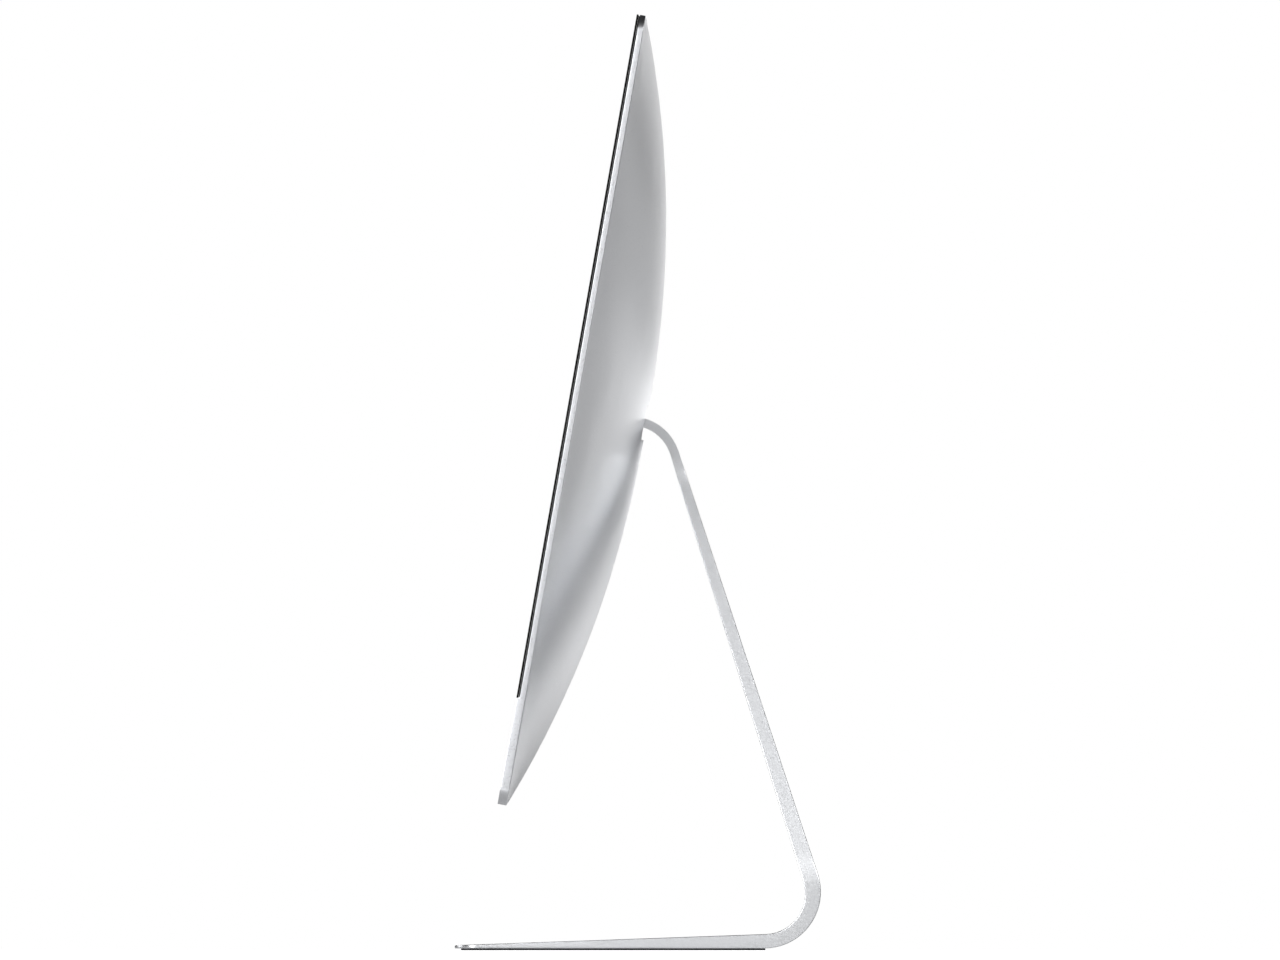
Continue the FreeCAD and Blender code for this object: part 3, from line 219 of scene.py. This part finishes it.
def metal(name, base, rough, grain=700.0, stretch=(1, 1, 1), depth=0.00002, stain=0.8):
    """Bare or plated metal: rolling or turning marks along one axis, and darker stains."""
    made, tree, shader = material(name)
    marks = noise(tree, object_space(tree, stretch), grain, 4.0, 0.65)
    clouds = noise(tree, object_space(tree), 60.0, 3.0, 0.6)
    tone = between(tree, marks, scaled(base, 0.86), base, 0.35, 0.65)
    worn = between(tree, clouds, scaled((1.0, 0.98, 0.95), stain), (1.0, 1.0, 1.0), 0.3, 0.7)
    tree.links.new(mixed(tree, 1.0, tone, worn, "MULTIPLY"), shader.inputs["Base Color"])
    tree.links.new(between(tree, marks, rough - 0.07, rough + 0.1, 0.3, 0.7),
                   shader.inputs["Roughness"])
    shader.inputs["Metallic"].default_value = 1.0
    bump(tree, shader, marks, depth, 0.5)
    return made


def moulded(name, base, rough, grain=1400.0):
    """Moulded plastic: a spark-eroded texture, and a faint change of tone across a part."""
    made, tree, shader = material(name)
    where = object_space(tree)
    pits = cells(tree, where, grain, "SMOOTH_F1")
    drift = noise(tree, where, 25.0, 3.0, 0.55)
    tone = between(tree, drift, scaled(base, 0.8), scaled(base, 1.2), 0.35, 0.65)
    flecks = between(tree, pits, (0.86, 0.86, 0.86), (1.0, 1.0, 1.0), 0.1, 0.6)
    tree.links.new(mixed(tree, 1.0, tone, flecks, "MULTIPLY"), shader.inputs["Base Color"])
    tree.links.new(between(tree, pits, rough + 0.06, rough - 0.06, 0.1, 0.7),
                   shader.inputs["Roughness"])
    bump(tree, shader, pits, 0.00005, 0.6)
    return made


def rubber(name, base):
    """Matt rubber: a leathery moulded grain, with a little pale dust in the hollows."""
    made, tree, shader = material(name)
    where = object_space(tree)
    grain = cells(tree, where, 620.0)
    dust = noise(tree, where, 180.0, 4.0, 0.7)
    skin = between(tree, grain, scaled(base, 0.75), scaled(base, 1.1), 0.1, 0.8)
    tree.links.new(mixed(tree, between(tree, dust, 0.0, 0.3, 0.5, 0.8), skin, scaled(base, 1.9)),
                   shader.inputs["Base Color"])
    tree.links.new(between(tree, dust, 0.72, 0.9, 0.3, 0.7), shader.inputs["Roughness"])
    bump(tree, shader, grain, 0.00015, 0.7)
    return made


def foam(name, base):
    """Closed-cell foam tape: small open pits all over."""
    made, tree, shader = material(name)
    pits = cells(tree, object_space(tree), 900.0)
    tree.links.new(between(tree, pits, scaled(base, 0.4), scaled(base, 1.5), 0.1, 0.7),
                   shader.inputs["Base Color"])
    tree.links.new(between(tree, pits, 0.95, 0.8), shader.inputs["Roughness"])
    bump(tree, shader, pits, 0.0002, 0.8)
    return made


def ink(name, base):
    """Screen-printed black ink: dense, with pinholes and a slight waviness."""
    made, tree, shader = material(name)
    where = object_space(tree)
    holes = noise(tree, where, 2200.0, 2.0, 0.6)
    waves = noise(tree, where, 40.0, 2.0, 0.5)
    tree.links.new(between(tree, holes, base, scaled(base, 2.2), 0.6, 0.8),
                   shader.inputs["Base Color"])
    tree.links.new(between(tree, waves, 0.32, 0.46, 0.3, 0.7), shader.inputs["Roughness"])
    bump(tree, shader, holes, 0.00001, 0.5)
    return made


TRACK_WIDTH = 0.22 * MM
TRACK_LENGTH = 500 * MM
UPRIGHT_PITCH, LEVEL_PITCH = 2.1 * MM, 2.4 * MM


def circuit(name, base):
    """Solder mask over copper tracks that run in two directions, with tinned pads."""
    made, tree, shader = material(name)
    where = panel_space(tree)
    upright, level = (
        add(tree, "ShaderNodeTexBrick", _Scale=1.0, offset=0.0, _Mortar_Size=TRACK_WIDTH,
            _Brick_Width=wide, _Row_Height=tall, _Mortar_Smooth=0.3)
        for wide, tall in ((UPRIGHT_PITCH, TRACK_LENGTH), (TRACK_LENGTH, LEVEL_PITCH)))
    swap = add(tree, "ShaderNodeMapping", _Rotation=(math.pi / 2, 0, 0))
    tree.links.new(where, swap.inputs["Vector"])
    for bricks in (upright, level):
        tree.links.new(swap.outputs["Vector"], bricks.inputs["Vector"])
    region = between(tree, noise(tree, where, 55.0, 1.0, 0.4), 0.0, 1.0, 0.48, 0.5)
    both = mixed(tree, region, upright.outputs["Fac"], level.outputs["Fac"])
    tracks = add(tree, "ShaderNodeSeparateColor")
    tree.links.new(both, tracks.inputs["Color"])
    pads = between(tree, cells(tree, where, 210.0), 1.0, 0.0, 0.2, 0.24)
    mask = mixed(tree, tracks.outputs["Red"], base, scaled(base, 2.1))
    tree.links.new(mixed(tree, pads, mask, (0.62, 0.6, 0.55)), shader.inputs["Base Color"])
    tree.links.new(pads, shader.inputs["Metallic"])
    tree.links.new(between(tree, noise(tree, where, 900.0), 0.3, 0.45), shader.inputs["Roughness"])
    bump(tree, shader, tracks.outputs["Red"], 0.00004, 0.7)
    return made


def lens(name, base, coat):
    """Coated optical glass: dark, with a tinted ring pattern and fine dust."""
    made, tree, shader = material(name)
    where = object_space(tree)
    dust = noise(tree, where, 3000.0, 2.0, 0.6)
    tint = noise(tree, where, 700.0, 1.0, 0.4)
    tree.links.new(between(tree, tint, base, coat, 0.35, 0.65), shader.inputs["Base Color"])
    tree.links.new(between(tree, dust, 0.03, 0.12, 0.5, 0.8), shader.inputs["Roughness"])
    shader.inputs["Coat Weight"].default_value = 1.0
    return made


VIEW_HALF = (298.5 * MM, 168 * MM)
VIEW_MIDDLE = 253.3 * MM
CAMERA_HEIGHT = 433.5 * MM
SENSOR_X = 14 * MM
SPOT_BLUR = 0.08 * MM

# Round marks in the border: place along the glass, radius and tone, from the outside in.
SPOTS = (
    (0.0, 2.6 * MM, (0.002, 0.002, 0.002)),
    (0.0, 1.5 * MM, (0.012, 0.014, 0.03)),
    (0.0, 0.6 * MM, (0.002, 0.002, 0.003)),
    (SENSOR_X, 1.2 * MM, (0.014, 0.01, 0.013)),
)


def cover_glass(name):
    """Black cover glass: an ink border, a slightly greyer display behind, a camera, and smudges."""
    made, tree, shader = material(name)
    where = panel_space(tree)
    split = add(tree, "ShaderNodeSeparateXYZ")
    tree.links.new(where, split.inputs["Vector"])
    x, u = split.outputs["X"], split.outputs["Z"]
    side = math_node(tree, "SUBTRACT", VIEW_HALF[0], math_node(tree, "ABSOLUTE", x))
    rise = math_node(tree, "ABSOLUTE", math_node(tree, "SUBTRACT", u, VIEW_MIDDLE))
    inset = math_node(tree, "MINIMUM", side, math_node(tree, "SUBTRACT", VIEW_HALF[1], rise))
    lit = between(tree, inset, 0.0, 1.0, -0.0001, 0.0001)
    pixels = cells(tree, where, 2600.0)
    display = between(tree, pixels, (0.011, 0.0115, 0.0135), (0.017, 0.0175, 0.02), 0.1, 0.7)
    ink_tone = between(tree, noise(tree, where, 30.0), (0.0035, 0.0035, 0.004),
                       (0.005, 0.005, 0.0055))
    colour = mixed(tree, lit, ink_tone, display)
    for centre, radius, tone in SPOTS:
        across = math_node(tree, "SUBTRACT", x, centre)
        up = math_node(tree, "SUBTRACT", u, CAMERA_HEIGHT)
        squares = (math_node(tree, "MULTIPLY", across, across), math_node(tree, "MULTIPLY", up, up))
        distance = math_node(tree, "SQRT", math_node(tree, "ADD", *squares))
        spot = between(tree, distance, 1.0, 0.0, radius - SPOT_BLUR, radius)
        colour = mixed(tree, spot, colour, tone)
    tree.links.new(colour, shader.inputs["Base Color"])
    smudges = noise(tree, where, 14.0, 5.0, 0.62)
    tree.links.new(between(tree, smudges, 0.02, 0.075, 0.45, 0.75), shader.inputs["Roughness"])
    shader.inputs["IOR"].default_value = 1.52
    return made


ALUMINIUM = blasted_aluminium("anodised_aluminium", (0.815, 0.828, 0.856), 0.30)
STAND_ALUMINIUM = blasted_aluminium("stand_aluminium", (0.81, 0.821, 0.84), 0.32)
COVER_GLASS = cover_glass("cover_glass")
LOOKS = {
    ink("border_ink", (0.006, 0.006, 0.007)): ["black_border_print"],
    foam("seal_foam", (0.03, 0.03, 0.031)): ["glass_adhesive_frame"],
    lens("display_face", (0.016, 0.016, 0.02), (0.022, 0.02, 0.03)): ["lcd_panel"],
    lens("camera_glass", (0.004, 0.004, 0.008), (0.03, 0.012, 0.05)): [
        "camera_lens", "light_sensor"],
    metal("rolled_sheet", (0.62, 0.62, 0.63), 0.4, 500.0, (1, 14, 14)): [
        "backlight_tray", "heat_spreader", "heat_sink"],
    metal("cast_drive_case", (0.5, 0.5, 0.51), 0.5, 1300.0, depth=0.00006): ["hard_drive"],
    metal("zinc_plate", (0.56, 0.56, 0.55), 0.36, 260.0, stain=0.7): [
        "hinge_bracket", "memory_bay_tray", "lock_plate"],
    metal("ground_steel", (0.55, 0.55, 0.56), 0.28, 900.0, (1, 12, 12)): [
        "hinge_shaft", "hinge_leaf", "shaft_nuts", "friction_washers"],
    metal("spring_steel", (0.4, 0.39, 0.38), 0.34, 500.0, (6, 1, 1)): ["counterbalance_springs"],
    metal("black_oxide_screws", (0.2, 0.2, 0.205), 0.4, 1500.0): [
        "board_screws", "bracket_screws", "leaf_clamp_screws"],
    metal("nickel_plate", (0.7, 0.69, 0.67), 0.22, 800.0, (1, 1, 5), 0.00001): [
        "usb_ports", "fast_ports", "card_slot", "network_port", "inlet_pins", "coin_cell"],
    metal("bare_copper", (0.72, 0.43, 0.3), 0.3, 400.0, (8, 8, 1), stain=0.6): ["heat_pipes"],
    circuit("solder_mask", (0.012, 0.013, 0.016)): [
        "logic_board", "memory_modules", "power_supply_board", "storage_card", "wireless_card"],
    moulded("black_nylon", (0.02, 0.02, 0.021), 0.5): [
        "memory_sockets", "display_connector", "fan_housing", "power_switch", "camera_module",
        "mains_filter", "microphone", "supply_transformer", "supply_capacitors", "antennas"],
    moulded("fan_plastic", (0.035, 0.035, 0.037), 0.42, 900.0): [
        "fan_impeller", "speaker_left", "speaker_right", "drive_rails"],
    moulded("lever_plastic", (0.05, 0.05, 0.052), 0.45, 1100.0): [
        "memory_lever_left", "memory_lever_right", "port_contact_tongues", "audio_jack"],
    moulded("chip_epoxy", (0.03, 0.03, 0.03), 0.55, 1700.0): ["processor"],
    moulded("lead_sleeve", (0.028, 0.028, 0.028), 0.38, 500.0): ["mains_lead"],
}
RUBBER = rubber("foot_rubber", (0.075, 0.075, 0.078))
INLET_PLASTIC = moulded("inlet_plastic", (0.018, 0.018, 0.019), 0.42, 1500.0)

for look, names in LOOKS.items():
    for name in names:
        mesh = nodes[name].data
        mesh.materials.clear()
        mesh.materials.append(look)


# ---------------------------------------------------------------- pieces with softened edges

SHARP = math.radians(30)
FLAT = math.radians(0.01)
WELD = 1e-6


def finished(build, name, look, body, slot, *replaced):
    """Makes a piece of a built mesh: smooth faces with sharp edges kept, riding on its body."""
    for face in build.faces:
        face.smooth = True
    for edge in build.edges:
        edge.smooth = not edge.is_manifold or edge.calc_face_angle() < SHARP
    mesh = bpy.data.meshes.new(name)
    build.to_mesh(mesh)
    build.free()
    if "custom_normal" in mesh.attributes:
        mesh.attributes.remove(mesh.attributes["custom_normal"])
    mesh.materials.clear()
    mesh.materials.append(look)
    made = bpy.data.objects.new(name, mesh)
    bpy.context.scene.collection.objects.link(made)
    weighted = made.modifiers.new("weighted_normals", "WEIGHTED_NORMAL")
    weighted.keep_sharp = True
    weighted.weight = 100
    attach(made, body)
    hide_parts(*replaced)


def softened(node, look, body, slot, width, segments=3, chosen=lambda middle: True):
    """A copy of a CAD piece whose sharp edges are rounded off, where chosen says so."""
    build = bmesh.new()
    build.from_mesh(nodes[node].data)
    bmesh.ops.remove_doubles(build, verts=build.verts, dist=WELD)
    bmesh.ops.dissolve_limit(build, angle_limit=FLAT, verts=build.verts, edges=build.edges)
    edges = [
        edge for edge in build.edges
        if edge.is_manifold and edge.calc_face_angle() > SHARP
        and all(chosen(corner.co) for corner in edge.verts)
    ]
    bmesh.ops.bevel(build, geom=edges, offset=width, offset_type="OFFSET", segments=segments,
                    profile=0.5, affect="EDGES", clamp_overlap=False)
    finished(build, node + "_softened", look, body, slot, node)


EDGE_DEPTH = 5.2 * MM
RIM_BAND = 3 * MM
CORNER_BAND = CORNER_RADIUS + 1 * MM
STEP_SLACK = 0.1 * MM
TONGUE_FOOT = 268 * MM


def on_outline(point):
    """True on the edges that run round the housing: the crease, the rim, the chin and its step."""
    x, u, v = in_panel(point)
    from_side, from_end = HALF_WIDTH - abs(x), min(u, HEIGHT - u)
    at_corner = from_side < CORNER_BAND and from_end < CORNER_BAND
    on_rim = v < EDGE_DEPTH and (from_side < RIM_BAND or from_end < RIM_BAND or at_corner)
    on_step = v < STEP_SLACK and u < CHIN + STEP_SLACK
    return on_rim or on_step


def on_bent_plate(point):
    """True below the tongue, where the stand's outline shows."""
    return point.z < TONGUE_FOOT


softened("rear_housing", ALUMINIUM, "housing", "anodised_aluminium", 0.35 * MM, 3, on_outline)
softened("memory_door", ALUMINIUM, "memory_door", "anodised_aluminium", 0.12 * MM, 2)
softened("power_button", ALUMINIUM, "power_button", "anodised_aluminium", 0.3 * MM, 3)
softened("stand", STAND_ALUMINIUM, "stand", "stand_aluminium", 0.5 * MM, 3, on_bent_plate)
softened("foot_pad", RUBBER, "stand", "foot_rubber", 0.25 * MM, 2)
softened("door_release_button", INLET_PLASTIC, "door_release_button", "black_plastic", 0.3 * MM, 2)
softened("power_inlet", INLET_PLASTIC, "housing", "black_plastic", 0.25 * MM, 2)


# ---------------------------------------------------------------- cover glass

GLASS_BACK = 1.16 * MM
GLASS_FOOT = 60.15 * MM
GLASS_BEVEL = 0.22 * MM
CORNER_STEPS = 14


def front_glass():
    """The cover glass: square lower corners, round upper ones, and polished bevels all round."""
    ring = [(-HALF_WIDTH, GLASS_FOOT), (HALF_WIDTH, GLASS_FOOT)]
    for side, start in ((1, 0.0), (-1, math.pi / 2)):
        for step in range(CORNER_STEPS + 1):
            angle = start + math.pi / 2 * step / CORNER_STEPS
            ring.append((side * (HALF_WIDTH - CORNER_RADIUS) + CORNER_RADIUS * math.cos(angle),
                         HEIGHT - CORNER_RADIUS + CORNER_RADIUS * math.sin(angle)))
    build = bmesh.new()
    face = build.faces.new([build.verts.new(from_panel(x, u, 0)) for x, u in ring])
    grown = bmesh.ops.extrude_face_region(build, geom=[face])["geom"]
    rear = [v for v in grown if isinstance(v, bmesh.types.BMVert)]
    bmesh.ops.translate(build, verts=rear, vec=BACK * GLASS_BACK)
    bmesh.ops.recalc_face_normals(build, faces=build.faces)
    rims = [e for e in build.edges if abs(e.calc_face_angle() - math.pi / 2) < SHARP
            and abs(in_panel(e.verts[0].co)[2] - in_panel(e.verts[1].co)[2]) < WELD]
    bmesh.ops.bevel(build, geom=rims, offset=GLASS_BEVEL, offset_type="OFFSET", segments=3,
                    profile=0.5, affect="EDGES", clamp_overlap=False)
    finished(build, "cover_glass", COVER_GLASS, "housing", "cover_glass", "front_glass")


front_glass()


# ---------------------------------------------------------------- floor and light

ROOM_STRENGTH = 0.03

# Soft boxes: name, place, the point they face, width and height in metres, power in watts.
LIGHTS = (
    ("behind", (-3.0, 0.0, 0.43), (0, 0, 0.27), 0.9, 0.5, 3.1),
    ("behind_right", (-2.9, 0.78, 0.43), (0, 0, 0.27), 0.9, 0.5, 0.5),
    ("far_behind_right", (-2.6, 1.5, 0.43), (0, 0, 0.27), 0.9, 0.5, 0.4),
    ("low_behind", (-1.3, 0.0, 0.14), (0, 0, 0.14), 0.7, 0.28, 0.4),
    ("low_behind_right", (-1.2, 0.45, 0.14), (0, 0, 0.14), 0.6, 0.28, 0.3),
    ("middle_behind_right", (-1.1, 0.55, 0.26), (0, 0, 0.28), 0.6, 0.28, 0.1),
    ("front_low", (2.78, -1.12, 0.38), (0, 0, 0.27), 1.2, 0.8, 20.0),
    ("front_high", (2.66, -1.08, 1.15), (0, 0, 0.27), 1.2, 0.8, 19.0),
    ("rear_right", (2.63, 1.23, 1.05), (0, 0, 0.27), 1.2, 0.8, 30.0),
    ("front", (-0.5, -3.0, 0.9), (0, 0, 0.27), 1.8, 1.2, 30.0),
    ("back", (-0.9, 2.8, 1.0), (0, 0, 0.27), 1.8, 1.2, 2.5),
)


def soft_box(name, place, target, wide, tall, power):
    data = bpy.data.lights.new(name, "AREA")
    data.shape = "RECTANGLE"
    data.size, data.size_y, data.energy = wide, tall, power
    lamp = bpy.data.objects.new(name, data)
    bpy.context.scene.collection.objects.link(lamp)
    lamp.location = place
    lamp.rotation_euler = (Vector(target) - Vector(place)).to_track_quat("-Z", "Y").to_euler()
    lamp.visible_camera = False


def studio():
    """White for the camera, a dim grey room for everything else, and soft boxes."""
    world = bpy.data.worlds.new("studio")
    world.use_nodes = True
    tree = world.node_tree
    room = tree.nodes["Background"]
    room.inputs["Color"].default_value = (1, 1, 1, 1)
    room.inputs["Strength"].default_value = ROOM_STRENGTH
    white = add(tree, "ShaderNodeBackground", _Color=(1, 1, 1, 1), _Strength=1.0)
    path = add(tree, "ShaderNodeLightPath")
    mix = add(tree, "ShaderNodeMixShader")
    tree.links.new(path.outputs["Is Camera Ray"], mix.inputs[0])
    tree.links.new(room.outputs[0], mix.inputs[1])
    tree.links.new(white.outputs[0], mix.inputs[2])
    tree.links.new(mix.outputs[0], tree.nodes["World Output"].inputs["Surface"])
    bpy.context.scene.world = world
    bpy.context.scene.view_settings.view_transform = "Standard"
    for light in LIGHTS:
        soft_box(*light)


FLOOR_HALF = 6.0
FLOOR_STEPS = 96
FALL_FROM, FALL_TO, FALL = 0.128, 0.30, 0.012

# The floor glows for the camera, dimmer under the foot as a painted contact shadow, and lights the
# object only by a small share.
FLOOR_GLOW, GLOW_IN_PAINTED_SHADOW = 0.85, 0.40
GLOW_FROM, GLOW_TO = 0.10, FALL_FROM
GLOW_ON_OBJECT = 0.05


def floor():
    """A pale sheet of paper, level under the foot and sagging a little beyond its ends."""
    build = bmesh.new()
    bmesh.ops.create_grid(build, x_segments=FLOOR_STEPS, y_segments=1, size=FLOOR_HALF)
    for corner in build.verts:
        corner.co.x = math.copysign(abs(corner.co.x / FLOOR_HALF) ** 3 * FLOOR_HALF, corner.co.x)
        share = min(max((abs(corner.co.x) - FALL_FROM) / (FALL_TO - FALL_FROM), 0), 1)
        corner.co.z = -FALL * share * share * (3 - 2 * share)
    for face in build.faces:
        face.smooth = True
    mesh = bpy.data.meshes.new("floor")
    build.to_mesh(mesh)
    build.free()
    ground = bpy.data.objects.new("floor", mesh)
    bpy.context.scene.collection.objects.link(ground)
    made, tree, shader = material("floor_paper")
    fibres = noise(tree, object_space(tree), 400.0, 3.0, 0.6)
    tree.links.new(between(tree, fibres, (0.9, 0.9, 0.9), (0.94, 0.94, 0.94), 0.3, 0.7),
                   shader.inputs["Base Color"])
    shader.inputs["Roughness"].default_value = 0.9
    split = add(tree, "ShaderNodeSeparateXYZ")
    tree.links.new(object_space(tree), split.inputs["Vector"])
    shader.inputs["Emission Color"].default_value = (1, 1, 1, 1)
    aside = math_node(tree, "ABSOLUTE", split.outputs["X"])
    # Painted contact shadow: the glow the camera sees drops across the band under the foot.
    glow = between(tree, aside, GLOW_IN_PAINTED_SHADOW, FLOOR_GLOW, GLOW_FROM, GLOW_TO)
    path = add(tree, "ShaderNodeLightPath")
    seen = between(tree, path.outputs["Is Camera Ray"], GLOW_ON_OBJECT, 1.0, 0.0, 1.0)
    tree.links.new(math_node(tree, "MULTIPLY", glow, seen), shader.inputs["Emission Strength"])
    mesh.materials.append(made)


camera()
studio()
floor()
